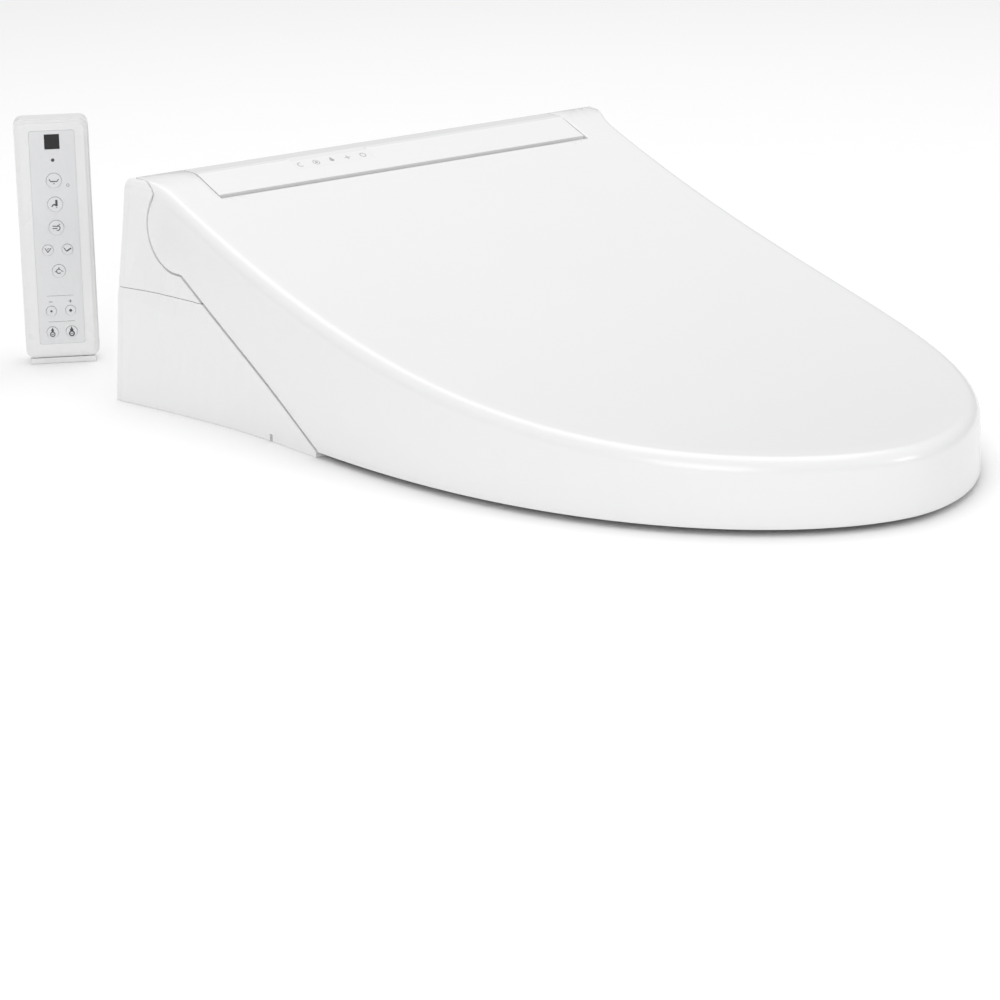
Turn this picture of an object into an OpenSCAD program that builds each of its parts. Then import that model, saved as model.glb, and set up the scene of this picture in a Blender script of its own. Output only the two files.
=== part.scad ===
// Electric bidet seat: lid, heated seat ring, wash-and-dry unit, and its
// wireless remote control standing in its wall holder.
// Millimetres. +Z up, front towards -Y. The origin lies on the plane of the
// pan rim, midway between the two fixing holes of the mounting plate.
// Helper functions use u, the distance forward of the unit's rear face, and
// z, the height above the rim.

/* [Overall] */
// depth from the unit's rear face to the front of the lid
seat_len = 530; // [450:1:640]
// widest part of the lid's lower edge
lid_w = 375; // [330:1:420]
// width of the unit's foot at the rear
unit_w = 420; // [400:1:460]
// width of the unit's top at the rear
unit_top_w = 396; // [392:1:420]
// height of the unit's rear top edge
unit_h = 145; // [132:1:175]
// height of the lid at its front edge
front_h = 44; // [42:1:56]
// distance of the rear face behind the fixing holes
rear_y = 55; // [45:1:70]

/* [Lid] */
// lid wall
lid_t = 3; // [2.4:0.1:4]
// rounding of the edge between the lid's top and its skirt
lid_r = 9; // [5:0.5:14]
// gap between the pan rim and the lid's lower edge
lid_gap = 4; // [3:0.5:8]
// travel of the lid, degrees
lid_travel = 108; // [90:1:110]

/* [Unit] */
// wall of the case halves
case_t = 2.5; // [2:0.1:3.5]
// height of the joint between the lower and the upper case
split_z = 75; // [66:1:84]
// half width of the fixed panel in the lid's rear notch
panel_hw = 151; // [140:1:158]
// depth of that panel
panel_d = 43; // [38:1:48]
// where the sloping side seam meets the foot
tip_u = 200; // [180:1:215]

/* [Seat ring] */
// half width of the seat ring
ring_hw = 168; // [150:1:180]
// half width of the opening
hole_hw = 98; // [85:1:106]
// thickness of the ring
ring_t = 24; // [20:1:28]

/* [Wash wand] */
// slope of the wand below level, degrees
wand_a = 30; // [25:1:36]
// wand travel
wand_travel = 115; // [80:1:120]
// wand tube radius
wand_r = 8; // [6:0.25:9]

/* [Fixing] */
// distance between the two fixing holes
bolt_span = 155; // [129:1:186]
// fixing hole radius
bolt_r = 5.5; // [4:0.5:7]

/* [Remote] */
// remote control width
rc_w = 50; // [44:1:60]
// remote control height
rc_h = 165; // [150:1:200]
// remote control thickness
rc_t = 20; // [18:1:26]
// middle of the remote control, left of the origin
rc_x = -183; // [-300:1:-175]
// middle of the remote control, behind the origin
rc_y = 169; // [150:1:240]
// turn of the remote control about the vertical
rc_turn = -29; // [-60:1:0]

/* [Hidden] */

kl = seat_len / 530;
zx = unit_h - 145;

// height of the lid's outer surface
function ztop(u) = min(unit_h, front_h
  + (unit_h + 7 - front_h) * pow(max(0, 1 - u / seat_len), 2.05));
// half width of the edge between top and skirt
crest_w = lid_w / 2 - 1.5;
function crest(u, t) = let (w0 = unit_top_w / 2, q = (u - 34) / (seat_len - 34 - t))
  (u < 34 ? w0 + (crest_w - w0) * sin(90 * max(u, 0) / 34)
    : crest_w * pow(max(0, 1 - pow(min(1, q), 3.855)), 1 / 1.703)) - (u < seat_len - t ? t : 0);
// half width at the foot
function foot(u, t) = let (q = (u - 168) / (seat_len - 168 - t))
  (u < 168 ? unit_w / 2 + (lid_w / 2 - unit_w / 2) * sin(90 * max(u, 0) / 168)
    : lid_w / 2 * pow(max(0, 1 - pow(min(1, q), 2.535)), 1 / 1.83)) - (u < seat_len - t ? t : 0);

// lid hinge and seat hinge lines, as [u, z]
lid_u = panel_d + 9;
lid_z = ztop(lid_u) - 8.7;
arm_u = panel_d + 61;
arm_z = ztop(arm_u) - 20.5;

// side seam: the lid's edge runs from [22, seam_z] down to [tip_u, 5]
seam_u = 22;
seam_z = 111 + zx;
seam_k = (seam_z - 5) / (tip_u - seam_u);
function seam(u, d) = seam_z - seam_k * (u - seam_u) - d;

// the lid's rear side edges and the unit's pillars are arcs round the lid hinge
arc_r = 32.2;
arc_gap = 1.6;

// places a profile of [u, z] points between two x values
module slab(x0, x1, pts)
  translate([x0, 0, 0]) rotate([90, 0, 90]) linear_extrude(x1 - x0)
    polygon([for (p = pts) [rear_y - p[0], p[1]]]);

module both(x0, x1, pts) {
  slab(x0, x1, pts);
  slab(-x1, -x0, pts);
}

// a rod along x at [u, z]
module rod(x0, x1, u, z, r)
  translate([x0, rear_y - u, z]) rotate([0, 90, 0]) cylinder(h = x1 - x0, r = r, $fn = 48);

module boxu(x0, x1, u0, u1, z0, z1)
  translate([x0, rear_y - u1, z0]) cube([x1 - x0, u1 - u0, z1 - z0]);

// the closed form that lid and unit share, t inside its outer surface
module shell_form(t, z0) {
  n = 30;
  nn = 2 * n + 1;
  uc = 200 * kl;
  le = seat_len;
  // around the edge, from the rear left, round the front, to the rear right
  side = [for (i = [0:n]) i / n];
  uu = [for (s = side) s < 0.4 ? -25 + (uc * 0.8 + 25) * s * 2.5 : let (v = (s - 0.4) / 0.6)
    uc * 0.8 + (le - uc * 0.8) * sin(90 * v)];
  top_u = [for (u = uu) u > le - t ? le - t : u];
  edge_a = [for (i = [0:n]) [-crest(min(top_u[i], le - t), t) * (i == n ? 0 : 1), top_u[i]]];
  foot_a = [for (i = [0:n]) [-foot(min(top_u[i], le - t), t) * (i == n ? 0 : 1), top_u[i]]];
  edge = concat(edge_a, [for (i = [n - 1:-1:0]) [-edge_a[i][0], edge_a[i][1]]]);
  base = concat(foot_a, [for (i = [n - 1:-1:0]) [-foot_a[i][0], foot_a[i][1]]]);
  r = lid_r - t * 0.6;
  drops = [for (a = [0, 25, 50, 70, 90]) [r * (1 - sin(a)), r * (1 - cos(a))]];
  tops = [for (k = [0.35, 0.65, 0.85]) [for (e = edge)
    let (p = [k * e[0], uc + k * (e[1] - uc)]) [p[0], p[1], ztop(p[1]) - t * 1.05]]];
  bend = [for (d = drops) [for (e = edge) let (dist = norm([e[0], e[1] - uc]), k = 1 - d[0] / dist,
    p = [k * e[0], uc + k * (e[1] - uc)]) [p[0], p[1], ztop(p[1]) - t * 1.05 - d[1]]]];
  skirt = [for (k = [0.5, 1]) [for (i = [0:nn - 1]) let (zc = ztop(edge[i][1]) - t * 1.05 - r,
    kk = 1 - pow(1 - k, 1.5)) [edge[i][0] + (base[i][0] - edge[i][0]) * kk, edge[i][1], zc + (z0 - zc) * k]]];
  rings = concat(tops, bend, skirt);
  m = len(rings);
  pts = [for (ring = concat([[[0, uc, ztop(uc) - t * 1.05]]], rings, [[[0, uc, z0]]])) for (p = ring)
    [p[0], rear_y - p[1], p[2]]];
  last = len(pts) - 1;
  function id(j, i) = 1 + j * nn + (i + nn) % nn;
  faces = concat(
    [for (i = [0:nn - 1]) [0, id(0, i + 1), id(0, i)]],
    [for (j = [0:m - 2]) for (i = [0:nn - 1]) each [[id(j, i), id(j, i + 1), id(j + 1, i)],
      [id(j, i + 1), id(j + 1, i + 1), id(j + 1, i)]]],
    [for (i = [0:nn - 1]) [last, id(m - 1, i), id(m - 1, i + 1)]]);
  polyhedron(pts, faces, convexity = 6);
}

// where the lid's metal may not go: below its side seam and in its rear notch
module lid_cuts() {
  difference() {
    union() {
      slab(-300, 300, [[-60, -20], [-60, seam_z], [seam_u, seam_z], [tip_u, 5], [tip_u + 12, -20]]);
      both(187.2, 300, [[-60, -20], [-60, 300], [lid_u, 300], [lid_u, -20]]);
    }
    rod(-300, 300, lid_u, lid_z, arc_r);
  }
  slab(-300, 300, [[-60, 100], [-60, 300], [1, 300], [1, 100]]);
  boxu(-panel_hw - 1, panel_hw + 1, -60, panel_d + 4, 60, 300);
}

module lid_shell() color("white") {
  difference() {
    union() {
      difference() {
        shell_form(0, lid_gap);
        shell_form(lid_t, lid_gap - 8);
        lid_cuts();
      }
      // hinge lugs
      intersection() {
        shell_form(1, lid_gap);
        both(153, 161, [[lid_u - 6, lid_z], [lid_u - 6, lid_z + 20], [lid_u + 22, lid_z + 20],
          [lid_u + 22, lid_z - 4], [lid_u + 3, lid_z - 7], [lid_u - 3, lid_z - 7]]);
      }
    }
    for (s = [-1, 1]) rod(s * 157 - 6, s * 157 + 6, lid_u, lid_z, 3.05);
    lid_cuts();
  }
}

// soft pads under the lid that meet the seat
pad_spots = [[-118, 270], [118, 270], [-78, 450], [78, 450]];
ring_z = 8;
module lid_buffers() color("lightgrey") for (p = pad_spots)
  let (u = p[1] * kl, zt = ztop(u + 8) - lid_t * 1.05, zb = p[1] > 400 ? zt - 3 : zt - 16)
    translate([p[0], rear_y - u, zb]) cylinder(h = zt - 0.2 - zb, r1 = 6, r2 = 7, $fn = 32);

ring_u0 = max(214 * kl, tip_u + 14);
ring_u1 = seat_len - 12;
ring_uc = (ring_u0 + ring_u1) / 2;
ring_ru = (ring_u1 - ring_u0) / 2;
hole_ru = ring_ru - 32;
// outer edge of the ring: an oval, kept inside the lid's skirt
function rim(a, b, g) = let (q = oval(a, b, 2.5, g),
  lim = max(0, foot(min(seat_len, ring_uc + q[1] + 11), 0) - 11 - ring_hw + a))
  [sign(q[0]) * min(abs(q[0]), lim), q[1]];
// closed band of the seat ring: inset d from both edges, between heights
function oval(a, b, e, g) = [pow(abs(cos(g)), 2 / e) * sign(cos(g)) * a,
  pow(abs(sin(g)), 2 / e) * sign(sin(g)) * b];
module band(d, z0, z1, dome) {
  n = 64;
  prof = [[0, 0], [0, 0.55], [0.1, 0.86], [0.3, 0.99], [0.6, 0.95], [0.88, 0.72], [1, 0.42], [1, 0]];
  m = len(prof);
  pts = [for (i = [0:n - 1]) let (g = 360 * i / n, o = rim(ring_hw - d, ring_ru - d, g),
    h = oval(hole_hw + d, hole_ru + d, 2.15, g)) for (p = prof)
      let (q = o + (h - o) * p[0], k = dome ? p[1] : min(1, p[1] * 2.2))
        [q[0], rear_y - ring_uc - q[1], z0 + (z1 - z0) * k]];
  polyhedron(pts, [for (i = [0:n - 1]) for (j = [0:m - 1]) let (a = i * m + j, b = i * m + (j + 1) % m,
    c = ((i + 1) % n) * m + (j + 1) % m, e = ((i + 1) % n) * m + j) each [[c, b, a], [e, c, a]]],
    convexity = 6);
}

arm_x0 = 95;
arm_x1 = 125;
module seat_top() color("whitesmoke") difference() {
  band(0, ring_z + 6, ring_z + ring_t, true);
  band(3, ring_z - 2, ring_z + ring_t - 3.4, true);
}
module seat_base() color("whitesmoke") difference() {
  union() {
    difference() {
      band(0.4, ring_z, ring_z + 5.8, false);
      boxu(-300, 300, -100, ring_u0 + 1, -5, 60);
    }
    both(arm_x0, arm_x1, [[arm_u, arm_z - 8], [arm_u - 7, arm_z - 5], [arm_u - 8, arm_z],
      [arm_u - 5, arm_z + 7], [arm_u, arm_z + 8.5], [arm_u + 6, arm_z + 7],
      [ring_u0 + 9, ring_z + 14], [ring_u0 + 9, ring_z],
      [ring_u0 + 2, ring_z], [ring_u0 - 8, ring_z + 16]]);
  }
  for (s = [-1, 1]) rod(s * 110 - 20, s * 110 + 20, arm_u, arm_z, 4.05);
}
module seat_heater() color("darkorange")
  band(12, ring_z + 6.2, ring_z + 9.5, false);
module seat_buffers() color("lightgrey") for (p = [[-133, 300], [133, 300], [-72, 472], [72, 472]])
  translate([p[0], rear_y - p[1] * kl, 0]) cylinder(h = ring_z - 0.1, r1 = 8, r2 = 7, $fn = 32);

// unit profiles
side_pts = [[0, 0], [0, seam_z - 14], [14, seam_z - 2], [seam_u, seam(seam_u, 2.4)],
  [tip_u - 2, seam(tip_u - 2, 2.4)], [tip_u - 2, 0]];
pillar_pts = [[0, seam_z - 16], [0, unit_h], [lid_u - 20, unit_h], [lid_u - 20, seam_z - 16]];
front_u = tip_u - 24;
body_pts = concat([[0, 0], [0, unit_h]], [for (u = [6:6:panel_d - 5]) [u, ztop(u)]],
  [[panel_d - 4.5, ztop(panel_d) + 1], [panel_d - 4.5, lid_z - 13], [lid_u - 6, lid_z - 16],
    [lid_u + 8, lid_z - 13],
    [lid_u + 12.5, lid_z - 5], [arm_u - 17, arm_z - 4], [arm_u, arm_z - 15],
    [front_u - 24, 45], [front_u - 4, 30], [front_u, 6], [front_u - 2, 0]]);

module body_solid() {
  intersection() {
    shell_form(0, 0);
    union() {
      difference() {
        union() {
          both(149, 300, side_pts);
          both(149, 300, pillar_pts);
        }
        rod(-300, 300, lid_u, lid_z, arc_r + arc_gap);
      }
      slab(-149.01, 149.01, body_pts);
    }
  }
}
// hollow inside the unit, one wall in from every face
hollow_pts = [[case_t, case_t], [case_t, unit_h - case_t - 3], [15, unit_h - case_t - 4],
  [panel_d - 7.2, ztop(panel_d) - 6.5], [panel_d - 7.2, lid_z - 15], [lid_u - 6, lid_z - 18.8],
  [lid_u + 9.5, lid_z - 15.6], [lid_u + 14, lid_z - 8], [arm_u - 18.2, arm_z - 7.2],
  [arm_u - 1.2, arm_z - 17.8], [front_u - 25.4, 42.2], [front_u - 6.6, 28],
  [front_u - 2.6, 6], [front_u - 2.6, case_t]];
module body_hollow() {
  slab(-146.5, 146.5, hollow_pts);
  intersection() {
    shell_form(case_t, case_t);
    both(146.4, 300, [[case_t, case_t], [case_t, lid_z - 62], [58, lid_z - 62], [tip_u - 34, 20],
      [tip_u - 20, case_t]]);
  }
}
// room that the lid's rear corners swing through
module corner_pockets() both(149, 187.6, [[-5, lid_z - 59], [-5, 300], [64, 300], [64, lid_z - 59]]);

// ports: wand, warm air, deodorising air, filter drawer
wand_u = front_u - 6 - 36 * cos(wand_a);
wand_z = 20 + 36 * sin(wand_a);
air_x = 62;
filter_x = -60;
button_u = 86;
module ports() {
  boxu(-15, 15, front_u - 20, front_u + 10, 4, 35.5);
  boxu(air_x - 23, air_x + 23, front_u - 12, front_u + 10, 7, 24);
  boxu(filter_x - 24, filter_x + 24, front_u - 12, front_u + 10, 7, 25);
}

module plate_room() boxu(-104, 104, 18, 112, -1, 7);

module upper_case() color("white") difference() {
  union() {
    difference() {
      body_solid();
      body_hollow();
    }
    // hinge posts for lid and seat
    both(139, 148.8, [[lid_u - 4, lid_z], [lid_u - 2.8, lid_z + 3.4], [lid_u + 0.5, lid_z + 4.4],
      [lid_u + 3.6, lid_z + 2.6], [lid_u + 4.4, lid_z], [lid_u + 5, lid_z - 16], [lid_u - 5, lid_z - 17]]);
    for (x = [arm_x0 - 11, arm_x1 + 1.5]) both(x, x + 9.5, [[arm_u - 14, arm_z - 8],
      [arm_u - 7, arm_z + 4], [arm_u, arm_z + 7.5], [arm_u + 7, arm_z + 3],
      [arm_u + 11, arm_z - 23], [arm_u - 12, arm_z - 12]]);
  }
  corner_pockets();
  translate([-400, -400, -50]) cube([800, 800, 50 + split_z + 0.4]);
  // recess for the fixed panel
  boxu(-panel_hw - 0.2, panel_hw + 0.2, -1, panel_d - 4.3, ztop(panel_d) - 3.4, 400);
  for (s = [-1, 1]) rod(s * 145 - 10, s * 145 + 10, lid_u, lid_z, 2.98);
  for (s = [-1, 1]) rod(s * 110 - 32, s * 110 + 32, arm_u, arm_z, 3.98);
}
screw_spots = [[-135, 12], [135, 12], [-135, 128], [135, 128]];
inlet_x = -128;
gland_x = 128;
flap_u = front_u + 1.2;
module lower_case() color("white") difference() {
  union() {
    difference() {
      body_solid();
      body_hollow();
    }
    intersection() {
      boxu(-106.5, 106.5, 15.5, 114.5, 0, 9.5);
      body_solid();
    }
    for (s = [-1, 1]) translate([s * bolt_span / 2, 0, 0]) cylinder(h = 17, r = 17.5, $fn = 48);
    for (p = screw_spots) translate([p[0], rear_y - p[1], 1]) cylinder(h = 18, r = 5, $fn = 32);
    // ears that carry the gate and the flap
    both(16.5, 19.5, [[front_u - 16, 31], [flap_u + 2.6, 31.6], [flap_u + 2.6, 37], [front_u - 16, 38]]);
    for (x = [air_x - 26.5, air_x + 24]) slab(x, x + 2.5, [[front_u - 8, 23.5],
      [flap_u + 2.4, 24.4], [flap_u + 2.4, 29.4], [front_u - 8, 31]]);
  }
  ports();
  plate_room();
  for (s = [-1, 1]) translate([s * bolt_span / 2, 0, -1]) cylinder(h = 15.5, r = 15, $fn = 48);
  for (p = screw_spots) translate([p[0], rear_y - p[1], -1]) {
    cylinder(h = 4, r = 3.7, $fn = 32);
    cylinder(h = 25, r = 1.85, $fn = 32);
  }
  translate([-400, -400, split_z]) cube([800, 800, 200]);
  boxu(150, 240, button_u - 10.3, button_u + 10.3, 21.7, 34.3);
  rod(-20, 20, flap_u, 34.5, 1.6);
  rod(air_x - 27, air_x + 27, flap_u, 27, 1.6);
  corner_pockets();
  // small clip slots in the foot
  for (x = [-230, 184]) boxu(x, x + 46, 148.5, 151.5, -1, 4.5);
  translate([inlet_x, rear_y + 3, 32]) rotate([90, 0, 0]) cylinder(h = 8, r = 10.06, $fn = 48);
  translate([gland_x, rear_y + 3, 32]) rotate([90, 0, 0]) cylinder(h = 8, r = 7.06, $fn = 48);
}

// panel in the lid's notch, flush with the lid
panel_u = [for (u = [6:4:panel_d - 1]) u];
module top_panel() color("white") difference() {
  slab(-panel_hw, panel_hw, concat([[0, ztop(panel_d) - 3.2], [0, unit_h - 1], [1, unit_h]],
    [for (u = panel_u) [u, ztop(u)]],
    [[panel_d, ztop(panel_d)], [panel_d, ztop(panel_d) - 2.4], [panel_d - 4, ztop(panel_d) - 2.4]],
    [for (i = [len(panel_u) - 2:-1:0]) [panel_u[i], ztop(panel_u[i]) - 2.8]],
    [[2.6, unit_h - 2.8], [2.6, ztop(panel_d) - 3.2]]));
  lens(0.05, 3);
}
module lens(c, up) slab(-80 - c, -18 + c, concat([for (u = [15 - c, 20, 25, 30 + c]) [u, ztop(u) + up]],
  [for (u = [30 + c, 25, 20, 15 - c]) [u, ztop(u) - 0.9 - c]]));
module indicator_lens() color("gainsboro") lens(0, 0);

module hinge_pins() color("silver") for (s = [-1, 1]) {
  rod(s * 150 - 11, s * 150 + 11, lid_u, lid_z, 2.95);
  rod(s * 110 - 27.5, s * 110 + 27.5, arm_u, arm_z, 3.95);
}
// soft-close dampers beside the hinge posts
module lid_damper() color("dimgray") {
  rod(100, 138.6, lid_u, lid_z, 4.2);
  slab(108, 134, [[lid_u - 3, lid_z], [lid_u + 3, lid_z], [lid_u + 3, lid_z - 13.9],
    [lid_u - 3, lid_z - 15.1]]);
}
module seat_damper() color("dimgray") {
  rod(-82.2, -44, arm_u, arm_z, 7);
  slab(-78, -48, [[arm_u - 5, arm_z], [arm_u + 5, arm_z], [arm_u + 5, arm_z - 17], [arm_u - 5, arm_z - 11]]);
}
module case_screws() color("silver") for (p = screw_spots) translate([p[0], rear_y - p[1], 0]) {
  translate([0, 0, 0.4]) difference() {
    cylinder(h = 2.4, r = 3.5, $fn = 32);
    translate([-2.4, -0.4, -1]) cube([4.8, 0.8, 1.8]);
    translate([-0.4, -2.4, -1]) cube([0.8, 4.8, 1.8]);
  }
  translate([0, 0, 2.7]) cylinder(h = 15, r = 1.8, $fn = 32);
}
module mounting_plate() color("silver") difference() {
  boxu(-103, 103, 19, 111, 0, 4);
  for (s = [-1, 1]) translate([s * bolt_span / 2, 0, -1]) cylinder(h = 6, r = bolt_r + 3.06, $fn = 48);
  for (x = [-45, 0, 45]) boxu(x - 16, x + 16, 40, 90, -1, 6);
}
module bolt_adjusters() color("whitesmoke") for (s = [-1, 1])
  translate([s * bolt_span / 2, 0, 0]) difference() {
  union() {
    cylinder(h = 4, r = bolt_r + 3, $fn = 48);
    translate([0, 0, 4]) cylinder(h = 2.5, r = 13, $fn = 48);
  }
  translate([0, 0, -1]) cylinder(h = 9, r = bolt_r, $fn = 64);
}
module release_button() color("gainsboro") {
  boxu(180, foot(button_u, 0) + 0.6, button_u - 10, button_u + 10, 22, 34);
  boxu(180, 184, button_u - 13, button_u + 13, 19, 37);
}
module water_inlet() color("silver") translate([inlet_x, rear_y, 32]) rotate([90, 0, 0]) difference() {
  union() {
    translate([0, 0, -14]) cylinder(h = 13.1, r = 10.5, $fn = 64);
    translate([0, 0, -1]) cylinder(h = 0.95, r = 13, $fn = 64);
    translate([0, 0, -0.1]) cylinder(h = 5.1, r = 10, $fn = 64);
    translate([0, 0, case_t + 0.1]) cylinder(h = 3.5, r = 13, $fn = 6);
  }
  translate([0, 0, -15]) cylinder(h = 25, r = 6, $fn = 48);
}
module cable_gland() color("dimgray") translate([gland_x, rear_y, 32]) rotate([90, 0, 0]) difference() {
  union() {
    translate([0, 0, -8]) cylinder(h = 13, r = 7, $fn = 48);
    translate([0, 0, -3]) cylinder(h = 2.9, r = 9, $fn = 48);
  }
  translate([0, 0, -9]) cylinder(h = 20, r = 3.5, $fn = 48);
}
module inlet_valve() color("whitesmoke") {
  boxu(inlet_x - 14, inlet_x + 18, case_t + 3.9, 36, 20, 44);
  rod(inlet_x + 4, inlet_x + 28, 26, 54, 9);
}
module water_heater() color("whitesmoke") {
  boxu(-142, -62, 58, 116, 19, 48);
  translate([-122, rear_y - 72, 48]) cylinder(h = 9, r = 5, $fn = 32);
  translate([-82, rear_y - 72, 48]) cylinder(h = 9, r = 5, $fn = 32);
}
module water_pump() color("dimgray") {
  rod(-96, -52, 32, 36, 13);
  rod(-52, -40, 32, 36, 7);
}
module main_board() color("green") {
  boxu(30, 140, 6, 7.6, 42, 70);
  boxu(44, 68, 7.6, 10.6, 50, 62);
  boxu(90, 104, 7.6, 12.6, 48, 64);
}
module power_board() color("green") {
  boxu(max(108, bolt_span / 2 + 18), 144, 40, 110, 12, 13.6);
  boxu(113, 138, 50, 78, 13.6, 34);
  for (y = [86, 100]) translate([126, rear_y - y, 13.6]) cylinder(h = 18, r = 6, $fn = 32);
}

// the wand's own frame: +Y back up the slope, origin at the resting tip
module wand_place() translate([0, rear_y - wand_u, wand_z]) rotate([wand_a, 0, 0]) children();
wand_len = 118;
module wand_track() color("gainsboro") wand_place() difference() {
  translate([-13, 6, -13.5]) cube([26, 108, 12]);
  translate([-10.9, 0, -10.5]) cube([21.8, 120, 20]);
  translate([8.4, 88, -20]) cube([10, 26, 30]);
}
module wand_tube() color("whitesmoke") wand_place() {
  translate([0, wand_len, 0]) rotate([90, 0, 0]) cylinder(h = wand_len - 1, r = wand_r, $fn = 64);
  translate([0, 12, -2.5]) cube([10.4, wand_len - 12, 5]);
}
module wand_tip() color("white") wand_place() difference() {
  rotate([-90, 0, 0]) rotate_extrude($fn = 64) polygon([[0, 0.9], [wand_r, 0.9], [wand_r, -5],
    [wand_r - 1.2, -8], [wand_r - 4, -9.6], [0, -10]]);
  for (y = [-5, -1.5]) translate([0, y, 0]) cylinder(h = 20, r = 0.7, $fn = 16);
}
module wand_pinion() color("dimgray") wand_place() translate([10.4 + 0.3 + 6, 100, -3]) difference() {
  cylinder(h = 6, r = 6, $fn = 48);
  translate([0, 0, -1]) cylinder(h = 8, r = 1.55, $fn = 32);
}
module wand_motor() color("silver") wand_place() translate([16.7, 100, 0]) {
  translate([0, 0, -24]) cylinder(h = 20, r = 8, $fn = 48);
  translate([0, 0, -4.1]) cylinder(h = 7.6, r = 1.5, $fn = 32);
}
module wand_gate() color("white") {
  boxu(-14, 14, flap_u - 0.7, flap_u + 0.9, 5, 34.5);
  rod(-19, 19, flap_u, 34.5, 1.5);
}

fan_u = 70;
fan_z = 42;
module fan_housing() color("gainsboro") difference() {
  union() {
    rod(air_x - 20, air_x + 8, fan_u, fan_z, 24);
    boxu(air_x - 20, air_x + 8, fan_u, fan_u + 30, fan_z - 24, fan_z - 4);
  }
  rod(air_x - 18, air_x + 6, fan_u, fan_z, 22);
  boxu(air_x - 18, air_x + 6, fan_u, fan_u + 31, fan_z - 22, fan_z - 6);
  rod(air_x - 22, air_x - 17, fan_u, fan_z, 11);
  rod(air_x + 5, air_x + 10, fan_u, fan_z, 3);
}
module fan_rotor() color("dimgray") difference() {
  union() {
    rod(air_x - 15, air_x + 3, fan_u, fan_z, 7);
    rod(air_x + 1, air_x + 3, fan_u, fan_z, 19);
    for (a = [0:30:330]) translate([air_x - 15, rear_y - fan_u, fan_z]) rotate([a, 0, 0])
      translate([0, 14, -0.8]) cube([16.5, 5, 1.6]);
  }
  rod(air_x - 16, air_x + 4, fan_u, fan_z, 1.55);
}
module fan_motor() color("silver") {
  rod(air_x + 8.3, air_x + 30, fan_u, fan_z, 13);
  rod(air_x - 14, air_x + 8.4, fan_u, fan_z, 1.5);
}
module air_duct() color("gainsboro") difference() {
  slab(air_x - 20, air_x + 20, [[fan_u + 30.2, 16], [fan_u + 30.2, 38.6], [front_u - 40, 30],
    [front_u - 7, 24.2], [front_u - 7, 6.8], [front_u - 30, 6.8]]);
  slab(air_x - 18, air_x + 18, [[fan_u + 29, 18], [fan_u + 29, 36.6], [front_u - 40, 28], [front_u + 2, 22.2],
    [front_u + 2, 8.8], [front_u - 30, 8.8]]);
}
module air_heater() color("darkorange") for (i = [0:5]) let (u = fan_u + 36 + i * 5)
  boxu(air_x - 17, air_x + 17, u, u + 1.2, 18.5 - i * 0.3, 28.6 - i * 0.5);
module dryer_flap() color("white") {
  boxu(air_x - 22, air_x + 22, flap_u - 0.7, flap_u + 0.9, 6, 27);
  rod(air_x - 26.4, air_x + 26.4, flap_u, 27, 1.5);
}
module filter_drawer() color("gainsboro") difference() {
  union() {
    boxu(filter_x - 23, filter_x + 23, 126, front_u + 1, 8, 24);
    boxu(filter_x - 25.5, filter_x + 25.5, front_u + 0.6, front_u + 2.8, 5.5, 26.5);
    boxu(filter_x - 8, filter_x + 8, front_u + 2.7, front_u + 6, 20, 23);
  }
  boxu(filter_x - 21, filter_x + 21, 128, front_u - 4, 10, 30);
  for (x = [-16:8:16]) boxu(filter_x + x - 1.5, filter_x + x + 1.5, 120, 130, 11, 22);
}

// remote control: own frame, front towards -Y, foot of the remote at z 4
module rc_place() translate([rc_x, rc_y, 0]) rotate([0, 0, rc_turn]) children();
module rc_slice(w, y0, y1, z0, z1, r) translate([0, y1, 0]) rotate([90, 0, 0]) linear_extrude(y1 - y0)
  polygon([for (c = [[1, 1], [-1, 1], [-1, -1], [1, -1]]) for (a = [0:15:90])
    let (b = a + (c[0] > 0 ? (c[1] > 0 ? 0 : 270) : (c[1] > 0 ? 90 : 180)))
    [c[0] * (w / 2 - r) + r * cos(b), (c[1] > 0 ? z1 - r : z0 + r) + r * sin(b)]]);
rz0 = 4;
rz1 = rz0 + rc_h;
rf = -rc_t / 2;
rb = rc_t / 2;
panel_w = rc_w * 0.61;
key_rows = [["stop", 0, 0.254, 5], ["rear", 0, 0.353, 5], ["front", 0, 0.45, 5], ["less", -6.5, 0.543, 3.6],
  ["more", 6.5, 0.543, 3.6], ["dryer", 0, 0.632, 4.4], ["move", -6.5, 0.8, 3.4], ["temp", 6.5, 0.8, 3.4],
  ["user_a", -6.5, 0.89, 3.8], ["user_b", 6.5, 0.89, 3.8]];
function key_z(k) = rz1 - rc_h * key_rows[k][2];
module key_form(k, c, y0, y1) rc_place() translate([key_rows[k][1], y1, key_z(k)]) rotate([90, 0, 0])
  cylinder(h = y1 - y0, r = key_rows[k][3] + c, $fn = 48);
module key(k) color("whitesmoke") {
  key_form(k, 0, rf - 0.7, rf + 3);
  key_form(k, 1, rf + 2.2, rf + 3);
}
module key_wells(c) for (k = [0:len(key_rows) - 1]) key_form(k, c, rf - 3, rf + 1.9);
module rc_front() color("white") difference() {
  rc_place() difference() {
    union() {
      rc_slice(rc_w, rf + 3, 0, rz0, rz1, 6);
      rc_slice(rc_w - 2.4, rf + 1.2, rf + 3, rz0 + 1.2, rz1 - 1.2, 5.4);
      rc_slice(rc_w - 6, rf, rf + 1.2, rz0 + 3, rz1 - 3, 4);
    }
    rc_slice(rc_w - 5, rf + 3.4, 1, rz0 + 2.5, rz1 - 2.5, 4);
    rc_slice(panel_w + 0.2, rf - 1, rf + 0.8, rz0 + 9.9, rz1 - 7.9, 2);
    translate([-5.1, rf - 1, rz1 - 20.6]) cube([10.2, 6, 10.2]);
  }
  for (k = [0:len(key_rows) - 1]) {
    key_form(k, 0.2, rf - 3, rf + 6);
    key_form(k, 1.3, rf + 1.4, rf + 6);
  }
}
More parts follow.
